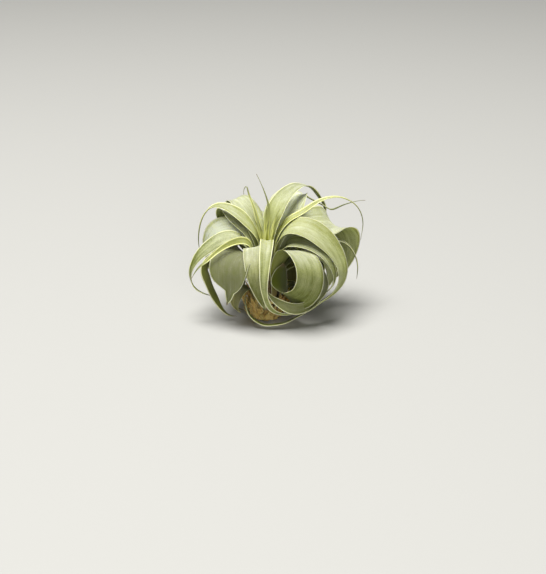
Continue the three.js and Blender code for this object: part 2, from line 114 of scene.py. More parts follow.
# ---- Heart: the youngest blades ---------------------------------------------------------------------
# The youngest leaves stand almost upright in the middle of the rosette. They are thin, soft and
# yellow-green, and the silvery scales that will cover them have hardly opened yet.
#
# Each leaf of the plant is one row: name, azimuth in degrees (0 = +X, 90 = +Y), greatest width in mm,
# its midrib, and what differs from LEAF and from its group. A point of the midrib is (mm out from the
# stem's axis, mm high, mm sideways, roll in degrees); what is left out is 0.
LEAF = {
    "Base": 0.38,  # width at the stem, as a share of the greatest width
    "Widest": 0.38,  # where the greatest width is, from 0 at the stem to 1 at the tip
    "Fullness": 1.5,  # how long the blade stays wide before it tapers
    "Tail Start": 1.0,  # where the blade ends and a thread-like tip begins
    "Tail Width": 0.0,  # how wide that thread begins
    "Tail Hold": 1.0,  # how long that thread holds its width
    "Foot Cup": 50.0,  # how far the cross-section bends, in degrees
    "Middle Cup": 50.0,
    "Tip Cup": 110.0,
    "Thickness": 1.2,
    "Crease": 0.0,  # depth of a sharp fold along the midrib
    "Waviness": 0.5,  # how far the margins wander
    "Unevenness": 0.3,  # how far the blade's surface wanders
    "Crumple": 0.0,  # how far it is crumpled, as dry paper is
    "Torn": 0.0,  # how deep the tip is torn, as a share of the length
    "Frayed": 0.0,  # how deep the margins are frayed, as a share of the width
    "Bloom": 0.5,  # how densely the silvery scales cover the blade
    "Painted Tip Shade": 0.0,  # how far the scale cover is lowered towards the tip, as painted shade
    "Painted Shade": 0.0,  # how far the silver is painted a darker grey, as shade
    "Youth": 0.0,  # how yellow-green it still is
    "Dryness": 0.0,  # how far it has dried
}
LENGTHS = ("Tail Width", "Thickness", "Crease", "Waviness", "Unevenness", "Crumple")  # in mm
FINEST = 0.45 * MM  # width of a leaf's very tip
THINNEST = 0.4 * MM  # its thickness there
WELD = 0.004 * MM  # points closer than this are one
AT_END = 0.0001  # a share of the length that counts as none
HALF_IN_MM = 0.5 / MM  # makes a width in metres half a width in mm


class Flow:
    """A value in a node tree. Arithmetic on it adds the nodes that work it out."""

    def __init__(self, tree, socket):
        self.tree = tree
        self.socket = socket

    def node(self, kind, *values, **settings):
        return add_node(self.tree, kind, self, *values, **settings)

    def to(self, kind, *values, **settings):
        """What such a node makes of this value."""
        return Flow(self.tree, self.node(kind, *values, **settings).outputs[0])

    def math(self, operation, *others):
        return self.to("ShaderNodeMath", *others, operation=operation)

    def vector(self, operation, *others):
        return self.to("ShaderNodeVectorMath", *others, operation=operation)

    def rise(self, start, end, low=0.0, high=1.0, smooth=True):
        """Goes from low to high as this value goes from start to end."""
        kind = "SMOOTHSTEP" if smooth else "LINEAR"
        return self.to("ShaderNodeMapRange", start, end, low, high, interpolation_type=kind)

    def parts(self):
        """Its X, Y and Z."""
        split = self.node("ShaderNodeSeparateXYZ")
        return [Flow(self.tree, split.outputs[axis]) for axis in "XYZ"]

    def __add__(self, other):
        return self.math("ADD", other)

    def __sub__(self, other):
        return self.math("SUBTRACT", other)

    def __mul__(self, other):
        return self.math("MULTIPLY", other)

    def __truediv__(self, other):
        return self.math("DIVIDE", other)

    def __pow__(self, other):
        return self.math("POWER", other)


def add_node(tree, kind, *values, **settings):
    """Adds a node, with its settings, and feeds its inputs in their order."""
    made = tree.nodes.new(kind)
    for setting, value in settings.items():
        setattr(made, setting, value)
    for socket, value in zip([s for s in made.inputs if s.enabled], values):
        if isinstance(value, Flow):
            tree.links.new(value.socket, socket)
        elif value is not None:
            socket.default_value = value
    return made


def vector_of(tree, x, y, z):
    return Flow(tree, add_node(tree, "ShaderNodeCombineXYZ", x, y, z).outputs[0])


def noise_of(tree, place, detail=2.0, roughness=0.5):
    """Soft noise from 0 to 1 at that place, one swelling to a unit."""
    made = add_node(tree, "ShaderNodeTexNoise", place, 1.0, detail, roughness)
    return Flow(tree, made.outputs["Fac"])


def shape_tree(name, inputs):
    """An empty Geometry Nodes tree that puts out a mesh, and a Flow for each of its inputs."""
    tree = bpy.data.node_groups.new(name, "GeometryNodeTree")
    tree.interface.new_socket("Mesh", in_out="OUTPUT", socket_type="NodeSocketGeometry")
    for label, kind in inputs.items():
        tree.interface.new_socket(label, in_out="INPUT", socket_type="NodeSocket" + kind)
    given = {s.name: Flow(tree, s) for s in tree.nodes.new("NodeGroupInput").outputs if s.name}
    return tree, given


def store(mesh, name, value, kind="FLOAT", domain="POINT"):
    """Keeps a value on the mesh under that name, for the materials to read."""
    return mesh.to(
        "GeometryNodeStoreNamedAttribute", None, name, value, data_type=kind, domain=domain
    )


def put_out(mesh, *steps):
    """Passes the mesh through those nodes and out of its tree."""
    for kind, *values in steps:
        mesh = mesh.to(kind, *values)
    mesh.tree.links.new(mesh.socket, mesh.tree.nodes.new("NodeGroupOutput").inputs[0])


def leaf_blade_tree():
    """Grows a closed leaf on a midrib: a grid is wrapped round it, down the upper face and back under
    the lower one, lens-shaped in section and bent into a channel."""
    inputs = {"Midrib": "Geometry", "Width": "Float", **dict.fromkeys(LEAF, "Float")}
    inputs.update({"Seed": "Float", "Flats": "Int", "Skin": "Material"})
    tree, given = shape_tree("leaf_blade", inputs)

    stations = Flow(tree, given["Midrib"].node("GeometryNodeAttributeDomainSize").outputs["Point Count"])
    columns = given["Flats"] * 2.0 + 1.0
    grid = add_node(tree, "GeometryNodeMeshGrid", 1.0, 1.0, columns, stations)
    round_it, along, _ = Flow(tree, grid.outputs["UV Map"]).parts()
    v = (round_it * 4.0 - 2.0).math("ABSOLUTE") * -1.0 + 1.0  # -1 and 1 at the margins
    to_margin = v.math("ABSOLUTE")
    side = (round_it * -1.0 + 0.5).math("SIGN")  # 1 on the upper face, -1 on the lower one

    # A torn tip ends sooner at some places across the leaf than at others.
    rag = noise_of(tree, vector_of(tree, v * 2.2, given["Seed"] * 7.0, 0.0), 2.0, 0.55)
    torn = given["Torn"] * rag.rise(0.3, 0.7, smooth=False)
    station = (along * (torn * -1.0 + 1.0) * (stations - 1.0)).math("ROUND")

    def at_station(name, kind):
        named = add_node(tree, "GeometryNodeInputNamedAttribute", name, data_type=kind)
        sampled = add_node(tree, "GeometryNodeSampleIndex", data_type=kind, domain="POINT")
        feed = zip(sampled.inputs, (given["Midrib"].socket, named.outputs[0], station.socket))
        for socket, source in feed:
            tree.links.new(source, socket)
        return Flow(tree, sampled.outputs[0])

    place, across, up = [at_station(n, "FLOAT_VECTOR") for n in ("place", "across", "up")]
    run = at_station("run", "FLOAT")
    u = at_station("share", "FLOAT")

    # Width along the leaf: it opens to its widest, tapers, and may end in a thread.
    opening = u.rise(0.0, given["Widest"])
    taper = (u - given["Widest"]) / (given["Tail Start"] - given["Widest"])
    taper = taper.math("MAXIMUM", 0.0).math("MINIMUM", 1.0)
    full = given["Width"] * (given["Base"] + opening * (given["Base"] * -1.0 + 1.0))
    kept = (taper ** given["Fullness"]) * -1.0 + 1.0
    blade = given["Tail Width"] + (full - given["Tail Width"]) * kept
    spent = u.rise(given["Tail Start"], 1.0, smooth=False) ** given["Tail Hold"]
    thread = given["Tail Width"] * (spent * -1.0 + 1.0)
    in_blade = u.math("LESS_THAN", given["Tail Start"] + AT_END)
    width = (blade * in_blade + thread * (in_blade * -1.0 + 1.0)).math("MAXIMUM", FINEST)

    # The cup bends the section, and a leaf is less than half as thick at its tip as at its foot.
    cup = given["Foot Cup"] + (given["Middle Cup"] - given["Foot Cup"]) * opening
    cup = (cup + (given["Tip Cup"] - given["Middle Cup"]) * taper.rise(0.0, 1.0)) * math.radians(1)
    thick = (given["Thickness"] * (u * -0.6 + 1.0)).math("MAXIMUM", THINNEST)
    thick = thick.math("MINIMUM", width * 0.8)

    # Across the leaf: a lens bent into a channel. Both faces meet at the margins and at the two ends.
    inside = along.math("GREATER_THAN", AT_END) * along.math("LESS_THAN", 1.0 - AT_END)
    lens = ((v * v) * -1.0 + 1.0).math("MAXIMUM", 0.0) ** 0.75
    radius = width / cup
    reach = radius - side * thick * 0.5 * lens * inside
    nick = noise_of(tree, vector_of(tree, v * 1.5, run / 2.6, given["Seed"] * 9.0), 2.0, 0.6)
    turn = v * cup * (nick.rise(0.35, 0.7) * given["Frayed"] * -0.5 + 0.5)

    # What makes it a grown thing: soft long swellings, wandering margins and perhaps a fold.
    seed = given["Seed"] * 13.7
    mm_across = v * width * HALF_IN_MM
    swell = noise_of(tree, vector_of(tree, mm_across / 5.0, run / 26.0, seed)) - 0.5
    wave = noise_of(tree, vector_of(tree, v * 0.8, run / 11.0, seed + 4.0), 1.0) - 0.5
    rim = to_margin ** 3.0
    fold = (to_margin * -1.0 + 1.0) ** 2.0
    breadth = width.rise(1.5 * MM, 9 * MM)
    away = run.rise(4.0, 22.0)
    lift = swell * given["Unevenness"] * 2.0 + wave * given["Waviness"] * 2.0 * rim
    lift = (lift - fold * given["Crease"]) * breadth * away

    # Dry paper crumples outwards for the most part, because the stem is behind it.
    paper = noise_of(tree, vector_of(tree, mm_across / 3.2, run / 3.8, seed), 3.0, 0.6) - 0.62
    lift = lift + paper * given["Crumple"] * 2.0

    rise = radius - turn.math("COSINE") * reach + lift
    shift = across.vector("SCALE", turn.math("SINE") * reach).vector("ADD", up.vector("SCALE", rise))
    leaf = Flow(tree, grid.outputs["Mesh"])
    leaf = leaf.to("GeometryNodeSetPosition", None, place.vector("ADD", shift))
    leaf = leaf.to("GeometryNodeFlipFaces")  # wrapped this way, the grid is inside out

    # How far each point faces up, read by the skin to paint light on up-facing and shade on down-facing
    # parts.
    skyward = Flow(tree, tree.nodes.new("GeometryNodeInputNormal").outputs[0]).parts()[2]
    leaf = store(leaf, "blade_map", vector_of(tree, mm_across, run, 0.0), "FLOAT2", "CORNER")
    for name, value in {
        "rim_mm": (to_margin * -1.0 + 1.0) * width * HALF_IN_MM,
        "share": u,
        "face": side,
        "skyward": skyward,
        # Painted shade: the cover of scales is lowered towards the tip, and the silver greyed, by the
        # leaf's shade values.
        "bloom": given["Bloom"] - u.rise(0.3, 0.8) * given["Painted Tip Shade"],
        "dullness": given["Painted Shade"],
        "youth": given["Youth"],
        "dryness": given["Dryness"],
        "seed": given["Seed"],
        "thread": width.rise(1.2 * MM, 3.5 * MM, 1.0, 0.0),
    }.items():
        leaf = store(leaf, name, value)
    put_out(
        leaf,
        ("GeometryNodeMergeByDistance", None, WELD),
        ("GeometryNodeSetShadeSmooth",),
        ("GeometryNodeRealizeInstances",),
        ("GeometryNodeSetMaterial", None, given["Skin"]),
    )
    return tree


def lengths_between(points):
    """The length of a line up to each of its points."""
    steps = np.linalg.norm(np.diff(points[:, :3], axis=0), axis=1)
    return np.concatenate([[0], np.cumsum(steps)])


def natural_spline(rows):
    """A curve through the rows that bends as evenly as a strip of spring steel. Returns a function
    of the share of its length."""
    t = lengths_between(rows)
    gap = np.diff(t)
    steps = np.diff(rows, axis=0) / gap[:, None]
    system = np.eye(len(rows))
    right = np.zeros_like(rows)
    for i in range(1, len(rows) - 1):
        system[i, i - 1 : i + 2] = gap[i - 1], 2 * (gap[i - 1] + gap[i]), gap[i]
        right[i] = 6 * (steps[i] - steps[i - 1])
    bend = np.linalg.solve(system, right)

    def at(share):
        x = share * t[-1]
        i = np.clip(np.searchsorted(t, x, side="right") - 1, 0, len(rows) - 2)
        a, b, h = (t[i + 1] - x)[:, None], (x - t[i])[:, None], gap[i][:, None]
        curved = (bend[i] * a**3 + bend[i + 1] * b**3) / (6 * h)
        return curved + (rows[i] / h - bend[i] * h / 6) * a + (rows[i + 1] / h - bend[i + 1] * h / 6) * b

    return at


FINE_STEPS = 2000  # a midrib is measured in this many steps
FEWEST_STEPS = 8  # and drawn in no fewer than these


def midrib(name, azimuth, points, spacing):
    """A line of stations along a leaf. Each holds its place, the direction across the leaf, the one
    out of its upper face, the length up to it in mm, and its share of the leaf's length."""
    turn = math.radians(azimuth)
    out = np.array([math.cos(turn), math.sin(turn), 0])
    side = np.array([-math.sin(turn), math.cos(turn), 0])
    rows = np.array([list(p) + [0] * (4 - len(p)) for p in points], float)
    places = rows[:, :1] * out + rows[:, 1:2] * np.array([0, 0, 1]) + rows[:, 2:3] * side
    fine = natural_spline(np.hstack([places, rows[:, 3:]]))(np.linspace(0, 1, FINE_STEPS + 1))
    run = lengths_between(fine)
    share = np.linspace(0, 1, max(round(run[-1] / spacing), FEWEST_STEPS) + 1)
    even = np.stack([np.interp(share * run[-1], run, column) for column in fine.T], 1)
    place, roll = even[:, :3], np.radians(even[:, 3:])
    ahead = np.gradient(place, axis=0)
    ahead /= np.linalg.norm(ahead, axis=1)[:, None]
    across = np.zeros_like(ahead)
    carried = side
    for i, forward in enumerate(ahead):
        carried = carried - (carried @ forward) * forward
        carried = carried / np.linalg.norm(carried)
        across[i] = carried
    up = np.cross(ahead, across)
    across, up = across * np.cos(roll) + up * np.sin(roll), up * np.cos(roll) - across * np.sin(roll)
    line = bpy.data.meshes.new(name)
    line.from_pydata((place * MM).tolist(), [(i, i + 1) for i in range(len(place) - 1)], [])
    for fact, values in {"place": place * MM, "across": across, "up": up}.items():
        line.attributes.new(fact, "FLOAT_VECTOR", "POINT").data.foreach_set("vector", values.ravel())
    for fact, values in {"run": share * run[-1], "share": share}.items():
        line.attributes.new(fact, "FLOAT", "POINT").data.foreach_set("value", values)
    return line


def solid_of(piece, tree, values):
    """Runs the tree on the piece with those inputs, and keeps the result as a plain mesh."""
    grown = piece.modifiers.new(tree.name, "NODES")
    grown.node_group = tree
    for socket in tree.interface.items_tree:
        if socket.in_out == "INPUT" and socket.name in values:
            grown[socket.identifier] = values[socket.name]
    bpy.context.scene.collection.objects.link(piece)
    seen = piece.evaluated_get(bpy.context.evaluated_depsgraph_get())
    mesh = bpy.data.meshes.new_from_object(seen)
    piece.modifiers.remove(grown)
    piece.data = mesh
    mesh.name = piece.name


leaf_blade = leaf_blade_tree()
seeds = random.Random(11)
NARROW = 7  # a leaf no wider than this many mm is drawn with fewer flats across it
NARROW_FLATS = 10


def grow(rows, group, skin, spacing=1.1, flats=20):
    """Grows each row's leaf and lets it stand for the node of its name. What `group` holds goes for
    all of them; `spacing` is the mm between stations and `flats` the number of faces across."""
    for name, azimuth, width, points, changes in rows:
        values = {**LEAF, **group, **changes}
        for size in LENGTHS:
            values[size] *= MM
        values.update({"Width": width * MM, "Seed": seeds.random(), "Skin": skin})
        values["Flats"] = flats if width > NARROW else NARROW_FLATS
        leaf = bpy.data.objects.new(name + "_leaf", midrib(name, azimuth, points, spacing))
        solid_of(leaf, leaf_blade, values)
        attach(leaf, "root")
        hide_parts(name)


def shader_group(name, *outputs):
    """An empty shader group that is given a leaf's map and its seed. `outputs` names what it gives."""
    tree = bpy.data.node_groups.new(name, "ShaderNodeTree")
    tree.interface.new_socket("Map", in_out="INPUT", socket_type="NodeSocketVector")
    tree.interface.new_socket("Seed", in_out="INPUT", socket_type="NodeSocketFloat")
    for label in outputs:
        tree.interface.new_socket(label, in_out="OUTPUT", socket_type="NodeSocketFloat")
    given = tree.nodes.new("NodeGroupInput").outputs
    mm_x, mm_y, _ = Flow(tree, given["Map"]).parts()
    return tree, mm_x, mm_y, Flow(tree, given["Seed"])


def give(tree, *flows):
    output = tree.nodes.new("NodeGroupOutput")
    for flow, socket in zip(flows, output.inputs):
        tree.links.new(flow.socket, socket)


# Long veins run from foot to tip, about a millimetre apart, with finer ones between them.
long_veins, mm_x, mm_y, leaf_seed = shader_group("long_veins", "Coarse", "Fine")
drift = leaf_seed * 31.0
coarse = noise_of(long_veins, vector_of(long_veins, mm_x / 1.5, mm_y / 60.0, drift), 2.0, 0.55)
fine = noise_of(long_veins, vector_of(long_veins, mm_x / 0.45, mm_y / 18.0, drift), 2.0, 0.6)
give(long_veins, coarse.rise(0.3, 0.7, smooth=False), fine.rise(0.28, 0.72, smooth=False))

# Scurf: the tiny shield-shaped scales that drink the dew. They lie in faint rows across the blade and
# gather in cloudy patches.
scurf, mm_x, mm_y, leaf_seed = shader_group("scurf", "Clouds", "Grain")
drift = leaf_seed * 17.0
clouds = noise_of(scurf, vector_of(scurf, mm_x / 4.5, mm_y / 11.0, drift), 4.0, 0.6)
rows_across = noise_of(scurf, vector_of(scurf, mm_x / 1.6, mm_y / 0.5, drift), 1.0)
specks = noise_of(scurf, vector_of(scurf, mm_x / 0.22, mm_y / 0.3, drift), 2.0, 0.7)
grain = rows_across.rise(0.3, 0.7) * 0.5 + specks.rise(0.35, 0.65) * 0.5
give(scurf, clouds.rise(0.3, 0.7), grain)


def blend(tree, share, first, second):
    """A colour between two, each a Flow or a plain colour."""
    first, second = [c if isinstance(c, Flow) else (*c, 1) for c in (first, second)]
    made = add_node(tree, "ShaderNodeMix", share, first, second, data_type="RGBA")
    return Flow(tree, made.outputs[2])


def leaf_facts(tree, *names):
    """The leaf's map, the four values of its veins and scurf, and what it stores under those names."""
    grid = Flow(tree, add_node(tree, "ShaderNodeUVMap", uv_map="blade_map").outputs[0])
    facts = {
        name: Flow(tree, add_node(tree, "ShaderNodeAttribute", attribute_name=name).outputs["Fac"])
        for name in ("seed", *names)
    }
    patterns = []
    for group in (long_veins, scurf):
        made = tree.nodes.new("ShaderNodeGroup")
        made.node_tree = group
        tree.links.new(grid.socket, made.inputs["Map"])
        tree.links.new(facts["seed"].socket, made.inputs["Seed"])
        patterns += [Flow(tree, socket) for socket in made.outputs]
    return grid, patterns, [facts[name] for name in names]


def relief(tree, shader, height, strength, depth):
    """Roughens the surface by that height, up to `depth` deep."""
    bump = add_node(tree, "ShaderNodeBump")
    bump.inputs["Strength"].default_value = strength
    bump.inputs["Distance"].default_value = depth
    tree.links.new(height.socket, bump.inputs["Height"])
    tree.links.new(bump.outputs[0], shader.inputs["Normal"])


FLESH_AT_FOOT = (0.27, 0.285, 0.03)
# The tip's flesh is its own darker green, painted darker still as shade for the curled-in ends.
FLESH_AT_TIP = (0.10, 0.12, 0.008)
YOUNG_FLESH = (0.42, 0.44, 0.06)
VEIN = (0.06, 0.08, 0.008)
SILVER = (0.42, 0.45, 0.195)
# Paler silver is a painted highlight where the leaf faces up; darker, greener silver is painted shade
# where it faces down.
SILVER_PAINTED_SKYLIT = (0.46, 0.48, 0.32)  # where the leaf faces up
SILVER_PAINTED_SHADE_BENEATH = (0.37, 0.42, 0.11)  # where it faces down
SILVER_IN_PAINTED_SHADE = (0.145, 0.15, 0.075)
THICK_SCURF = (0.70, 0.74, 0.57)
# Painted highlight along the margins: light shining through the thin edge.
PAINTED_EDGE_GLOW = (0.86, 0.87, 0.54)
YOUNG_PAINTED_EDGE_GLOW = (0.80, 0.82, 0.32)
THREAD = (0.13, 0.15, 0.09)
STRAW = (0.42, 0.31, 0.14)
DEAD_POINT = (0.17, 0.12, 0.07)
DRIED = (0.24, 0.19, 0.075)


def leaf_material():
    """A living leaf: green flesh under silvery scales that are thickest on the open upper face, a
    pale thin margin, a straw-coloured foot and a dry dark point. Light and shade are painted in
    as well: the silver is paler where the leaf faces up and darker where it faces down, the lower
    face and the curled-in tips are partly darkened as painted shade, and the pale margin is a
    painted highlight of light through the thin edge."""
    material, tree, shader = new_material(
        "leaf_skin", Specular_IOR_Level=0.35, Subsurface_Weight=0.35,
        Subsurface_Radius=(1.0, 1.0, 0.3), Subsurface_Scale=1.1 * MM,
        Sheen_Weight=0.12, Sheen_Roughness=0.45, Sheen_Tint=(1, 1, 0.94, 1),
    )
    grid, (coarse, fine, clouds, grain), facts = leaf_facts(
        tree, "share", "face", "skyward", "rim_mm", "bloom", "dullness", "youth", "dryness", "thread"
    )
    share, face, skyward, rim, bloom, dullness, youth, dryness, thread = facts
    run = grid.parts()[1]

    flesh = blend(tree, share.rise(0.1, 0.6), FLESH_AT_FOOT, FLESH_AT_TIP)
    flesh = blend(tree, youth, flesh, YOUNG_FLESH)
    flesh = blend(tree, coarse * 0.3, flesh, VEIN)

    # How densely the scales cover it: 0 is bare, 1 is silver, and beyond that it goes white.
    cover = bloom + (clouds - 0.5) * 0.34 + (coarse - 0.5) * 0.34 + (fine - 0.5) * 0.34
    # The upper face carries more scales than the lower; the lower face's darker green is partly its own
    # and partly painted shade.
    cover = cover + (grain - 0.5) * 0.36 + face * 0.24
    cover = (cover - rim.rise(1.0, 3.6, 0.30, 0.0)) * share.rise(-0.1, 0.25, 0.35, 1.0)
    cover = cover.math("MAXIMUM", 0.0)
    # Painted light: the silver is made paler where the surface faces up and darker where it faces down.
    silver = blend(tree, skyward.rise(0.3, 1.0), SILVER, SILVER_PAINTED_SKYLIT)
    silver = blend(tree, skyward.rise(-0.9, -0.1, 1.0, 0.0), silver, SILVER_PAINTED_SHADE_BENEATH)
    # Painted shade: the silver is darkened to grey where a leaf lies in shade.
    silver = blend(tree, dullness, silver, SILVER_IN_PAINTED_SHADE)
    skin = blend(tree, cover.math("MINIMUM", 1.0), flesh, silver)
    skin = blend(tree, cover.rise(1.0, 1.7), skin, THICK_SCURF)

    # Painted highlight: a pale band along each margin stands for light shining through the thin edge.
    pale = (rim - youth * 0.45).rise(0.4, 1.0, 0.80, 0.0) * (thread * -1.0 + 1.0)
    skin = blend(tree, pale, skin, blend(tree, youth, PAINTED_EDGE_GLOW, YOUNG_PAINTED_EDGE_GLOW))
    skin = blend(tree, thread * 0.55, skin, THREAD)
    foot = run.rise(3.0, 15.0, 1.0, 0.0) * (clouds * 0.4 + 0.5) * (youth * -1.0 + 1.0)
    skin = blend(tree, foot, skin, STRAW)
    skin = blend(tree, share.rise(0.955, 0.995) * 0.85, skin, DEAD_POINT)
    dry = dryness * (clouds * 0.6 + 0.4) * share.rise(0.0, 0.9, 0.35, 1.0)
    skin = blend(tree, dry, skin, DRIED)
    tree.links.new(skin.socket, shader.inputs["Base Color"])

    rough = grain * 0.14 + (cover * 0.10 + 0.50)
    tree.links.new(rough.socket, shader.inputs["Roughness"])
    relief(tree, shader, coarse * 0.55 + fine * 0.25 + grain * 0.20, 0.7, 0.16 * MM)
    return material


leaf_skin = leaf_material()
YOUNG = {"Bloom": 0.1, "Youth": 0.9, "Waviness": 0.15, "Unevenness": 0.1}
HEART = [
    ("heart_spike", 90, 3.6, [(3.6, 57), (3.8, 66, -0.8), (3.9, 80, -2), (4.2, 94, -2.4),
        (6, 107, 1), (8, 122, 7.6)],
        {"Base": 1, "Widest": 0.1, "Fullness": 1.0, "Foot Cup": 40, "Middle Cup": 90,
         "Tip Cup": 60}),
    ("heart_left", 148, 7, [(3.6, 57), (3.9, 64), (5.8, 72), (9, 84), (13.5, 97), (17.6, 107),
        (19.2, 110.5), (20.6, 109), (21.5, 103)],
        {"Base": 0.5, "Widest": 0.3, "Fullness": 1.0, "Bloom": 0.7}),
    ("heart_a", 126, 4.4, [(5.2, 50), (5.3, 58), (6.6, 68), (9.8, 79), (14, 88), (19, 96)],
        {"Base": 0.45, "Fullness": 1.2}),
    ("heart_b", 92, 4, [(5.2, 50), (5.2, 58), (5.5, 68), (6.8, 78), (8.6, 88, -0.5),
        (10.5, 97, -2)], {"Base": 0.4, "Fullness": 1.2}),
    ("heart_c", 203, 3.6, [(3.6, 57), (3.9, 64), (5, 72), (7.6, 81), (12, 90)],
        {"Base": 0.8, "Fullness": 1.2}),
    ("heart_d", 20, 4.5, [(3.6, 57), (3.9, 64), (5, 73), (8, 84), (12.5, 94)],
        {"Base": 0.7, "Fullness": 1.2}),
    ("heart_e", 285, 4.6, [(3.6, 57), (3.7, 62), (3.6, 68), (4, 76), (5.2, 86, 1.2)],
        {"Base": 0.8, "Fullness": 1.3}),
    ("heart_f", 240, 4.2, [(5.2, 50), (5.3, 57), (5.3, 64), (6.2, 72), (8.6, 80), (12, 87)],
        {"Base": 0.5, "Fullness": 1.2}),
    ("heart_g", 332, 4.4, [(5.2, 50), (5.3, 57), (5.3, 65), (6.6, 74), (9.6, 83), (14, 91)],
        {"Base": 0.5, "Fullness": 1.2}),
]
grow(HEART, YOUNG, leaf_skin, spacing=0.9)

# ---- Upper blades -----------------------------------------------------------------------------------
# The blades that opened last rise from the heart and arch over. They are broad and channelled low
# down and run out into long threads that curl as they dry.
UPPER = [
    ("crest_back_left", 130, 24, [(6.8, 43), (6.9, 53), (8.5, 63), (13, 74), (21, 84),
        (29.5, 91, 0, -2), (38.5, 93.3, 0, -4), (45.2, 88.5, 0, -6), (46.5, 76, 0, -6),
        (43.5, 67, 0, -5)],
        {"Base": 0.3, "Widest": 0.5, "Middle Cup": 20, "Tip Cup": 60, "Bloom": 0.65}),
    ("left_thread", 162, 13, [(5.2, 50), (5.3, 58), (6.6, 66), (10, 73, 0, -8), (15, 79, 0, -15),
        (23, 86.4, 0, -20), (32, 91.3, 0, -22), (41, 92.6, 0, -20), (48, 90.5, 0, -10),
        (53.3, 85), (56.7, 78), (58.9, 69), (59.7, 58.5), (58.5, 48)],
        {"Base": 0.2, "Widest": 0.36, "Fullness": 1.3, "Tail Start": 0.64, "Tail Width": 3.4,
         "Tail Hold": 1.4, "Bloom": 0.45, "Youth": 0.3}),
    ("left_scroll", 152, 19, [(8.3, 35), (8.5, 46), (9.2, 57), (12.5, 67, 0, -8),
        (18, 75.5, 0, -20), (25, 81.2, 0, -24), (32, 85, 0, -16), (38.5, 86.5, -1.5, 2),
        (43, 83.5, -2.8, 20), (44.5, 77, -3.2, 30), (41.5, 71, -3, 30)],
        {"Base": 0.3, "Widest": 0.6, "Fullness": 2, "Bloom": 0.55}),
    ("top_right_arch", 46, 18, [(5.2, 50), (5.3, 58), (6, 67), (8, 77.5), (12, 89, 0, 8),
        (19, 98, 0, 15), (28, 103, 0, 18), (38, 105, 0, 12), (47, 103.5), (55, 99.5), (62, 92.5),
        (67.5, 86), (72, 79), (72, 71), (67, 65)],
        {"Base": 0.24, "Widest": 0.32, "Fullness": 1.0, "Tail Start": 0.66, "Tail Width": 7,
         "Tail Hold": 2, "Tip Cup": 70, "Bloom": 0.55}),
    ("right_thread", 12, 7, [(6.8, 43), (6.9, 53), (7.6, 62, 0, 5), (10.5, 71.5, 0, 10),
        (20, 84, 0, 22), (30, 89.2, 0, 30), (38.5, 94.5, 0, 30), (44.5, 97.8, 0, 25),
        (51, 99.9, 0, 15), (57, 100.6, 0, 5), (63.3, 100), (69.7, 97.4), (75, 93.8),
        (79.3, 88.5), (82, 82), (83, 75.5), (82.4, 68), (81.4, 61)],
        {"Base": 0.45, "Widest": 0.3, "Fullness": 1.1, "Tail Start": 0.7, "Tail Width": 2.6,
         "Tail Hold": 1.4, "Bloom": 0.35, "Youth": 0.5}),
    ("back_right_pale", 52, 33, [(8.3, 35), (8.5, 46), (9.2, 57), (12, 68, 0, 4),
        (19, 79.5, 0, 10), (29, 89, 0, 12), (40, 94.5, 0, 8), (50, 94), (57.5, 89.3, -1),
        (62.4, 85.6, -4.5), (65, 82.4, -11.5), (63.6, 81.2, -19.5), (61.2, 84.2, -27),
        (61, 89, -35), (62.2, 92.8, -43), (63.2, 95.5, -50.4), (63.5, 96.7, -55.5)],
        {"Base": 0.2, "Widest": 0.36, "Fullness": 2.4, "Tail Start": 0.56, "Tail Width": 3.2,
         "Tail Hold": 1.3, "Bloom": 1.05}),
]
grow(UPPER, {}, leaf_skin)

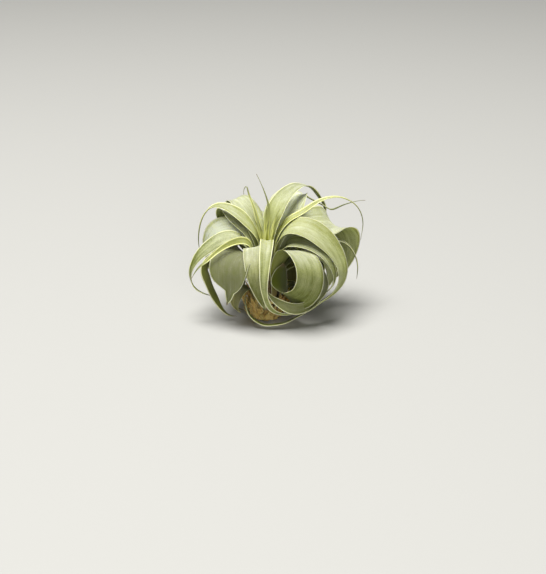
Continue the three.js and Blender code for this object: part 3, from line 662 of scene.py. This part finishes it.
# ---- Front and side blades --------------------------------------------------------------------------
# The grown blades of the front and of the two sides. Each one leaves the stem upright, bends over at
# about half the plant's height and curls down and under; one has closed into a ring.
FRONT = [
    # Its very high cover of scales paints it near white: a painted highlight where light falls on it.
    ("left_shoulder", 152, 25, [(9.6, 27), (9.8, 38), (10.1, 50), (11.6, 60),
        (17.8, 69.3, 1.5, -4), (28.5, 73.5, 6.5, -22), (36.8, 71.5, 9.5, -30),
        (44.3, 63.5, 11, -26), (48.4, 50, 10.5, -12), (47.3, 38, 9.2), (41, 29, 7.3)],
        {"Base": 0.2, "Widest": 0.62, "Fullness": 2, "Bloom": 1.3}),
    ("left_arch", 190, 17, [(10.6, 19), (11, 29), (11.1, 44), (12.4, 53.6, 0, -5),
        (16.6, 62.2, 0, -7), (22, 68.4, 0, -14), (30, 70.6, 0, -24), (38, 69, 0, -25),
        (46.5, 64, 0, -26), (54.2, 57.5, 0, -24), (60.3, 49, 0, -18), (63, 39, 0, -8), (61, 31),
        (53, 23.8), (45.5, 20.4)],
        {"Base": 0.26, "Widest": 0.45, "Tail Start": 0.84, "Tail Width": 4.5, "Tail Hold": 2,
         "Tip Cup": 80, "Bloom": 0.65, "Painted Tip Shade": 0.6}),
    ("left_ribbon", 208, 7.5, [(9.6, 28), (9.8, 40), (10.5, 51, 0, -10), (13, 62, 0, -30),
        (19, 69.5, 0, -55), (27, 71, 0, -65), (40, 67.6, 0, -65), (48.5, 62.8, 0, -65),
        (55.3, 58, 0, -65), (60.5, 55, 0, -65), (68.5, 45.5, 0, -65)],
        {"Widest": 0.3, "Bloom": 0.3, "Youth": 0.6}),
    ("front_left_blade", 223, 36, [(10.6, 19), (11.7, 29), (12.8, 43), (16.2, 54, -0.5, -4),
        (23, 61, -1.5, -12), (31.5, 61, -2.5, -21), (38.5, 56, -0.6, -21), (42, 47.5, 2.4, -18),
        (42.6, 37.6, 3.6, -16), (43, 29, 2.2, -12), (43, 20.5, -1.2, -8)],
        {"Base": 0.17, "Widest": 0.6, "Fullness": 2.6, "Tail Start": 0.86, "Tail Width": 9,
         "Tail Hold": 1.3, "Foot Cup": 45, "Middle Cup": 30, "Tip Cup": 60, "Bloom": 0.55,
         "Painted Shade": 0.95}),
    ("front_strap", 270, 19, [(8.7, 35, -3), (8.7, 46, -4.5), (9.7, 57, -6.5), (12.6, 65, -8.2),
        (18, 67.5, -9.3), (26, 65, -9.6), (33.5, 59.5, -9.3), (37.6, 52, -8.6), (38.2, 44, -7.4),
        (36.8, 36, -5.6), (34.5, 28, -3.6), (31.5, 21, -1.6), (28, 15.5, 0.5)],
        {"Base": 0.4, "Widest": 0.3, "Fullness": 2.0, "Middle Cup": 28, "Tip Cup": 60,
         "Bloom": 0.9, "Painted Tip Shade": 0.7, "Painted Shade": 0.35, "Dryness": 0.15, "Crease": 0.5}),
    ("front_ribbon", 270, 11.5, [(6.8, 43), (6.9, 53), (8, 62, 0.5), (11.5, 69.5, 0.8),
        (17, 73.2, 1), (23, 72.5, 0.8), (30.5, 68.5, 0.2), (37, 61.5, -0.6), (41.3, 53, -1.2),
        (42.3, 44, -1.4), (41, 36, -0.8), (38.5, 28, 0.9), (35, 20.5, 4.2), (31.5, 15.3, 9.5),
        (29.5, 13.2, 16), (29, 14, 23), (29.5, 17.4, 30)],
        {"Base": 0.45, "Widest": 0.3, "Fullness": 1.3, "Tail Start": 0.66, "Tail Width": 4.8,
         "Tail Hold": 3, "Middle Cup": 36, "Tip Cup": 50, "Bloom": 0.4, "Crease": 0.5}),
    ("right_sweep", -12, 24, [(8.3, 35), (8.5, 46), (9.2, 57, 0, 2), (11.5, 67.5, 0, 6),
        (16, 75, 0, 12), (22.5, 79.3, 0, 20), (30, 80.1, 0, 25), (38, 77.8, 0, 27),
        (46, 72.8, 0, 28), (53.5, 65.8, 0, 25), (59.3, 57.5, -1, 20), (63.6, 48.5, -4, 12),
        (63.8, 39, -6.5, 5), (60, 31, -8.5), (53.1, 24.5, -11.2), (47.4, 20.4, -13.4),
        (38.9, 14.2, -17.3, -10), (30.4, 10.1, -21.1, -18), (23, 6.6, -24.6, -26),
        (13.3, 4.6, -27.8, -30), (4.9, 4.2, -28.9, -34), (-2, 7, -29.3, -38),
        (-7.4, 12, -29.4, -40), (-10.3, 19.2, -29, -40), (-11.1, 25.9, -28, -40),
        (-8.9, 31.4, -26.4, -40)],
        {"Base": 0.3, "Widest": 0.3, "Tail Start": 0.62, "Tail Width": 6.2, "Tail Hold": 3,
         "Tip Cup": 60, "Bloom": 0.4}),
    # Its low cover of scales darkens it as painted shade under right_sweep.
    ("right_under_sweep", -23, 16, [(9.6, 27), (9.9, 39), (11.2, 51, 0, 2), (15.9, 60.4, 0, 5),
        (20, 66, 0, 12), (28, 68.7, 0, 16), (36, 68.5, 0, 16), (44, 66, 0, 14),
        (52, 60.5, 0, 12), (58, 52, 0, 8), (60.5, 43), (58, 34), (51, 27)],
        {"Base": 0.28, "Widest": 0.45, "Bloom": 0.3}),
    ("front_ring", -47, 26, [(10.6, 19), (11.3, 29), (12, 43, 0.4, -2), (16, 53.5, 1.6, -4),
        (22.5, 61.5, 3, -7), (32, 65.5, 2, -10), (42, 64, 1, -6), (50, 57.5, 0, 2),
        (53, 49, -1, 8), (51.3, 39.4, -2, 16), (44.5, 30.4, -3, 28), (34, 25.6, -3.5, 34),
        (24, 28, -2.5, 26), (17.6, 35.5, 0, 12), (16.4, 45, 2, 4), (18.5, 51.5, 3)],
        {"Base": 0.27, "Widest": 0.42, "Fullness": 9, "Middle Cup": 25, "Tip Cup": 25,
         "Bloom": 0.75, "Painted Tip Shade": 0.9, "Painted Shade": 0.15, "Waviness": 0.9}),
    ("front_low_band", -13, 14, [(11, 12), (12.3, 20), (13.6, 36, 1), (21.8, 44.2, 1.8),
        (31, 48, 0.6), (41, 46), (48, 39), (50, 33, -2), (47, 27, -9), (41.4, 22.4, -15.7),
        (35.8, 20.1, -22.1, 5), (27.6, 20.6, -27.4, 14), (18.8, 24.4, -29.4, 20),
        (11.4, 29.4, -29.4, 20), (6.8, 35, -28.6, 12)],
        {"Base": 0.3, "Widest": 0.5, "Fullness": 3.2, "Painted Shade": 0.7}),
    ("right_scroll", 24, 33, [(9.6, 27), (9.7, 39), (10.2, 51), (15, 61.5, 0, 10),
        (24, 68.8, 0, 25), (34, 73.6, 0, 36), (45, 75.4, 0, 40), (54, 74.5, 0.5, 36),
        (61, 72.3, 1.5, 16), (66.5, 68.6, 2, -6), (70.5, 63, 2, -28), (73, 56, 1.5, -45),
        (73.5, 47, 1, -55), (71.5, 37.5, 0, -57), (67, 28.5, 0, -55), (60, 22.5, 0, -50)],
        {"Base": 0.2, "Widest": 0.6, "Fullness": 2, "Bloom": 0.9, "Painted Shade": 0.1}),
    ("right_inner", 12, 9.5, [(10.6, 19), (11.3, 29), (12, 43), (18, 54), (30, 60), (45, 62.5),
        (58, 63), (67, 60, -1), (73.5, 53, -2), (77.5, 44, -2.6), (78.5, 34, -2.7), (78, 27, -2.7)],
        {"Base": 0.25, "Widest": 0.58, "Fullness": 1.3}),
    ("right_mid", 11, 18, [(11, 12), (12.4, 21), (14.2, 36), (18.5, 46, -0.5), (27, 52, -1.5),
        (38, 53.5, -3, 10), (48.5, 50.5, -3, 30), (54, 42, -3, 45), (53.5, 31, -3, 48),
        (48, 22, -3, 45), (40, 16, -3, 35)], {"Base": 0.16, "Widest": 0.66}),
]
grow(FRONT, {}, leaf_skin)

# One of them is older: a narrow dark sickle that has lost most of its scales.
OLD_FRONT = [
    ("left_sickle", 200, 11, [(11, 12), (12.3, 20), (14, 35), (19, 48, 0, 5), (29, 54, -1, 15),
        (40, 56.5, -3.8, 35), (48.7, 53.5, -3.6, 50), (52.3, 47.5, -1.5, 60), (51, 40.6, 0, 60),
        (47.3, 29.4, 0, 60), (42.7, 19.3, 0, 60), (38.5, 11.3, 0, 50), (33, 5, 0, 35),
        (26, 2.4, 0, 20)],
        {"Base": 0.25, "Widest": 0.6, "Fullness": 1.9, "Tip Cup": 70, "Bloom": -0.2,
         "Dryness": 0.2}),
]
grow(OLD_FRONT, {}, leaf_skin)

# ---- Back blades ------------------------------------------------------------------------------------
# The same grown blades on the far side. They overlap like tiles, packed closer than those of the
# front because nothing has pressed them apart.
OVERLAPPING = {"Base": 0.2, "Widest": 0.55}
BACK = [
    ("back_a", 32, 23, [(10.6, 19), (11.3, 29), (13.6, 43), (20, 52), (31, 55), (42, 50.5),
        (50, 40), (51, 27), (45, 15), (36, 8)], {}),
    ("back_b", 84, 24, [(11, 12), (12.3, 20), (18, 33.5), (30, 38), (42, 35), (49, 25), (48, 14),
        (40, 6), (30, 2.4)], {"Widest": 0.5}),
    ("back_c", 124, 22, [(11, 12), (12.3, 20), (17, 33.5), (26, 38), (35, 34), (40, 24),
        (39, 13), (33, 5), (25, 2.4)], {"Widest": 0.5}),
    ("back_d", 98, 25, [(10.6, 19), (11.3, 29), (13.5, 42), (22, 51), (34, 54), (46, 49),
        (54, 38), (55, 25), (48, 14), (38, 8)], {}),
    ("back_e", 63, 25, [(10.6, 19), (11.5, 29), (15.3, 44), (18.6, 55), (28, 64), (41, 65.5),
        (53, 58), (60, 45), (58, 30), (49, 20)], {"Widest": 0.6}),
    ("back_f", 138, 24, [(10.6, 19), (11.3, 29), (12.5, 43), (18, 53.5), (27, 60), (37, 57.5),
        (43.5, 47), (43.5, 33), (37, 22)], {"Widest": 0.6}),
    ("back_g", 82, 26, [(9.6, 27), (9.9, 39), (11.5, 51), (18, 63), (29, 72), (43, 75), (56, 69),
        (64, 57), (65, 43), (59, 32)], {}),
    ("back_h", 121, 24, [(9.6, 27), (10.2, 39), (12.4, 50), (18, 60), (28, 67), (40, 65.9),
        (50, 61), (55, 49), (53, 36), (46, 27)], {}),
]
grow(BACK, OVERLAPPING, leaf_skin)

# ---- Low old leaves ---------------------------------------------------------------------------------
# The oldest living leaves hang near the foot. They are short and a dark green that is partly
# their own dull colour and partly painted shade under the rosette, and they have begun to dry
# from their ends.
AGED = {"Bloom": 0.2, "Dryness": 0.6}
LOW = [
    ("low_left", 216, 19, [(11, 12), (12.2, 17), (14.8, 25), (19.6, 29.6), (25.6, 28.6),
        (29.5, 22.6), (29.5, 14.6), (25.2, 7.6)], {"Base": 0.25, "Widest": 0.5, "Fullness": 2}),
    ("low_right", 54, 25, [(11, 12), (12.3, 20), (14.5, 34), (18.5, 43), (25.5, 45), (31.5, 40),
        (34, 30), (33, 19), (28, 9), (20, 4)], {"Base": 0.2, "Widest": 0.6}),
    ("low_right_front", 25, 17, [(11, 12), (12.2, 16), (16, 21.5), (23, 23), (30, 20.5),
        (33, 14), (31, 7.5), (25, 4)], {"Base": 0.22, "Widest": 0.5}),
    ("low_back_left", 163, 12, [(11, 12), (12.3, 20), (16, 32), (24, 35), (31, 31), (34, 22),
        (32, 12), (26, 4), (19, 2)], {"Base": 0.4, "Widest": 0.5}),
]
grow(LOW, AGED, leaf_skin)

# ---- Dry sheaths round the foot ---------------------------------------------------------------------
# Dead leaves break off and leave their clasping bases: stiff papery scales, golden brown, torn along
# the top and split along their veins.
PAPERY = {
    "Base": 0.8, "Widest": 0.35, "Fullness": 2.4, "Foot Cup": 60, "Middle Cup": 55, "Tip Cup": 40,
    "Thickness": 1.1, "Torn": 0.6, "Frayed": 0.4, "Waviness": 1.2, "Unevenness": 1.0, "Crumple": 3.0,
}
SHEATHS = [
    ("dry_sheath_a", -96, 15, [(11, 0.9), (11.7, 7), (13, 14), (15.2, 21)],
        {"Foot Cup": 66, "Middle Cup": 58}),
    ("dry_sheath_b", -24, 12, [(11, 0.9), (11.6, 5), (12.6, 9), (14.2, 13)], {}),
    ("dry_sheath_c", 48, 12, [(11, 0.9), (11.6, 4.5), (12.6, 8), (14, 11)], {}),
    ("dry_sheath_d", 120, 12, [(11, 0.9), (11.6, 5), (12.6, 9), (14.2, 13)], {}),
    ("dry_sheath_e", 192, 12, [(11, 0.9), (11.6, 4.5), (12.6, 8.5), (14, 12)], {}),
    ("dry_sheath_f", -62, 13, [(12, 0.9), (14.2, 6), (16.6, 13), (20, 19.5)],
        {"Fullness": 2.2, "Foot Cup": 54, "Middle Cup": 50, "Tip Cup": 30}),
    ("dry_sheath_g", -122, 17, [(12.1, 0.9), (14.2, 7), (15.8, 14), (17.6, 20.5), (20, 26)],
        {"Base": 0.62, "Widest": 0.4, "Fullness": 2.2, "Tip Cup": 30}),
    ("dry_sheath_h", 10, 11, [(11.9, 0.9), (13.8, 4), (15.2, 8), (17, 11.5)],
        {"Fullness": 2.2, "Foot Cup": 50, "Middle Cup": 50, "Tip Cup": 30}),
]
# Golden paper, painted paler than its own colour to stand in for the light that the leaves keep from the
# foot.
PAPER_DARK = (0.52, 0.31, 0.07)
PAPER_LIGHT = (0.98, 0.80, 0.30)
PAPER_TOP = (0.98, 0.87, 0.42)
PAPER_VEIN = (0.26, 0.15, 0.05)
PAPER_EDGE = (0.95, 0.84, 0.42)


def sheath_material():
    """Dry leaf base: golden paper with dark veins, palest at its torn top and along its edges. Its
    colours are painted paler than the paper's own, as painted light, since the leaves shade the foot.
    """
    material, tree, shader = new_material(
        "dry_sheath", Subsurface_Weight=0.3, Subsurface_Radius=(1.0, 0.6, 0.25),
        Subsurface_Scale=0.8 * MM,
    )
    _, (coarse, fine, clouds, grain), (share, rim) = leaf_facts(tree, "share", "rim_mm")
    paper = blend(tree, clouds, PAPER_DARK, PAPER_LIGHT)
    paper = blend(tree, share.rise(0.35, 1.0) * 0.7, paper, PAPER_TOP)
    paper = blend(tree, coarse * 0.4, paper, PAPER_VEIN)
    paper = blend(tree, rim.rise(0.1, 0.7, 0.6, 0.0), paper, PAPER_EDGE)
    tree.links.new(paper.socket, shader.inputs["Base Color"])
    tree.links.new((fine * 0.2 + 0.62).socket, shader.inputs["Roughness"])
    relief(tree, shader, coarse * 0.7 + fine * 0.3 + grain * 0.15, 0.9, 0.22 * MM)
    return material


sheath_skin = sheath_material()
grow(SHEATHS, PAPERY, sheath_skin, spacing=0.3, flats=32)

# ---- Shreds of the sheaths --------------------------------------------------------------------------
# Older sheaths have split into short stiff shreds of the same golden paper. They stand out all round
# the foot, caught at their lower ends among the whole sheaths.
SHREDS = {
    "Number": 190,
    "Seed": 5,
    "Radius": 11.6 * MM,  # of the ring they stand on
    "Depth": 3.4 * MM,  # of that ring, outwards
    "Lowest": 0.8 * MM,
    "Highest": 20 * MM,
    "Length": 8.5 * MM,
    "Breadth": 4.6 * MM,
    "Bend": 2.6 * MM,  # how far the end curls out
    "Lean": 0.5,  # how far they lean out, in radians
    "Skin": sheath_skin,
}
CONE = {"sides": 8, "steps": 6, "fan": 1, "tip": 0.06, "root": 0.5, "height": 1.0}  # before it is bent
FLATNESS = 0.16  # a shred's thickness, as a share of its breadth
SPLAY = 0.28  # how far out the ring goes as it rises


def shred_tree():
    """Sets shreds on end round a ring: flat, tapering, bent outwards, each turned its own way."""
    inputs = {"Number": "Int", "Seed": "Int"}
    for label in ("Radius", "Depth", "Lowest", "Highest", "Length", "Breadth", "Bend", "Lean"):
        inputs[label] = "Float"
    tree, given = shape_tree("shred_ring", {**inputs, "Skin": "Material"})

    def dice(low, high, stream):
        """A random value for each shred; each stream is a draw of its own."""
        draw = given["Seed"] + stream
        made = add_node(tree, "FunctionNodeRandomValue", low, high, None, draw, data_type="FLOAT")
        return Flow(tree, next(s for s in made.outputs if s.enabled))

    # One shred, a cone pressed flat: +Z along it, +X out of its face.
    cone = add_node(tree, "GeometryNodeMeshCone", *CONE.values())
    x, y, z = Flow(tree, tree.nodes.new("GeometryNodeInputPosition").outputs[0]).parts()
    ragged = noise_of(tree, vector_of(tree, y.math("SIGN"), z * 6.0, 2.5), 3.0, 0.7) + 0.6
    bent = x * given["Breadth"] * FLATNESS + z * z * given["Bend"] + y * y * 0.5 * given["Breadth"]
    shaped = vector_of(tree, bent, y * given["Breadth"] * ragged, z * given["Length"])
    shred = Flow(tree, cone.outputs["Mesh"]).to("GeometryNodeSetPosition", None, shaped)
    shred = store(shred, "share", z)
    shred = store(shred, "rim_mm", (y.math("ABSOLUTE") * -1.0 + CONE["root"]) * 2.0)
    shred = store(shred, "blade_map", vector_of(tree, y * 3.0, z * 12.0, 0.0), "FLOAT2", "CORNER")

    around = dice(0.0, math.tau, 1.0)
    height = dice(given["Lowest"], given["Highest"], 2.0)
    reach = given["Radius"] + height * SPLAY + dice(0.0, given["Depth"], 8.0)
    place = vector_of(tree, around.math("COSINE") * reach, around.math("SINE") * reach, height)
    ring = add_node(tree, "GeometryNodePoints", given["Number"])
    tree.links.new(place.socket, ring.inputs["Position"])

    lean = dice(given["Lean"] * 0.2, given["Lean"], 3.0)
    twist = dice(-0.7, 0.7, 4.0)
    turned = vector_of(tree, dice(-0.6, 0.6, 5.0), lean, around + twist)
    scattered = Flow(tree, ring.outputs[0]).node("GeometryNodeInstanceOnPoints")
    feed = {"Instance": shred, "Rotation": turned, "Scale": dice(0.45, 1.15, 6.0)}
    for label, flow in feed.items():
        tree.links.new(flow.socket, scattered.inputs[label])
    put_out(
        store(Flow(tree, scattered.outputs[0]), "seed", dice(0.0, 1.0, 7.0), domain="INSTANCE"),
        ("GeometryNodeRealizeInstances",),
        ("GeometryNodeSetShadeSmooth",),
        ("GeometryNodeSetMaterial", None, given["Skin"]),
    )
    return tree


shreds = bpy.data.objects.new("sheath_shreds", bpy.data.meshes.new("sheath_shreds"))
solid_of(shreds, shred_tree(), SHREDS)
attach(shreds, "root")

# ---- Stem -------------------------------------------------------------------------------------------
# The stem is a short woody stump, rough with the scars of fallen leaves, and dried flat where the
# plant was picked.
STEM_PROFILE = [
    (9.6, 0), (10.1, 1.2), (10.1, 13), (9.7, 19), (8.7, 27), (7.4, 35), (5.9, 43), (4.3, 50),
    (2.7, 57), (1.6, 63), (0.4, 65.8),
]
STEM_ROUND = 96
STEM_STEP = 0.7
SCAR_DEPTH = 0.16
FIBRE_DEPTH = 0.30
BARK_INSET = 0.28  # keeps most of the roughened bark inside the profile
BARK_TOP = (38.0, 52.0)  # where the bark gives way to the green of the heart
BARK_DARK = (0.055, 0.032, 0.014)
BARK_LIGHT = (0.26, 0.17, 0.075)
BARK_WORN = (0.33, 0.27, 0.15)
BARK_GREEN = (0.30, 0.33, 0.05)


def stem_mesh():
    """Rings of points up the profile, pushed in and out by scars and fibres, closed at both ends."""
    heights = np.arange(0, STEM_PROFILE[-1][1], STEM_STEP)
    radii = np.interp(heights, [z for _, z in STEM_PROFILE], [r for r, _ in STEM_PROFILE])
    points = [(0, 0, 0)]
    for z, r in zip(heights, radii):
        for i in range(STEM_ROUND):
            turn = math.tau * i / STEM_ROUND
            scar = math.sin(z * 1.25 + 2.2 * math.sin(turn * 3 + z * 0.22)) * SCAR_DEPTH
            fibre = noise.noise(Vector((math.cos(turn) * r * 0.9, math.sin(turn) * r * 0.9, z * 0.12)))
            worn = r + (scar + fibre * FIBRE_DEPTH - BARK_INSET) * (1 if z > 0 else 0.4)
            points.append((math.cos(turn) * worn, math.sin(turn) * worn, z))
    points.append((0, 0, heights[-1] + STEM_STEP))
    top, rings = len(points) - 1, len(heights)
    faces = [(0, 1 + (i + 1) % STEM_ROUND, 1 + i) for i in range(STEM_ROUND)]
    for k in range(rings - 1):
        low = 1 + k * STEM_ROUND
        for i in range(STEM_ROUND):
            j = (i + 1) % STEM_ROUND
            faces.append((low + i, low + j, low + STEM_ROUND + j, low + STEM_ROUND + i))
    last = 1 + (rings - 1) * STEM_ROUND
    faces += [(last + i, last + (i + 1) % STEM_ROUND, top) for i in range(STEM_ROUND)]
    mesh = bpy.data.meshes.new("stem_bark")
    mesh.from_pydata([tuple(c * MM for c in p) for p in points], [], faces)
    mesh.shade_smooth()
    return mesh


def bark_material():
    """Fibres that run up the stem, paler worn patches over them, and green at the very top."""
    material, tree, shader = new_material("stem_bark", Roughness=0.85)
    here = Flow(tree, add_node(tree, "ShaderNodeTexCoord").outputs["Object"])
    x, y, z = [part * (1 / MM) for part in here.parts()]
    fibres = noise_of(tree, vector_of(tree, x / 0.8, y / 0.8, z / 9.0), 3.0, 0.6)
    patches = noise_of(tree, vector_of(tree, x / 4.0, y / 4.0, z / 3.0), 3.0, 0.6)
    bark = blend(tree, fibres.rise(0.3, 0.7), BARK_DARK, BARK_LIGHT)
    bark = blend(tree, patches.rise(0.45, 0.7) * 0.6, bark, BARK_WORN)
    bark = blend(tree, z.rise(*BARK_TOP), bark, BARK_GREEN)
    tree.links.new(bark.socket, shader.inputs["Base Color"])
    relief(tree, shader, fibres, 0.8, 0.3 * MM)
    return material


stem = bpy.data.objects.new("stem_bark", stem_mesh())
stem.data.materials.append(bark_material())
bpy.context.scene.collection.objects.link(stem)
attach(stem, "root")
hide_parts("stem")
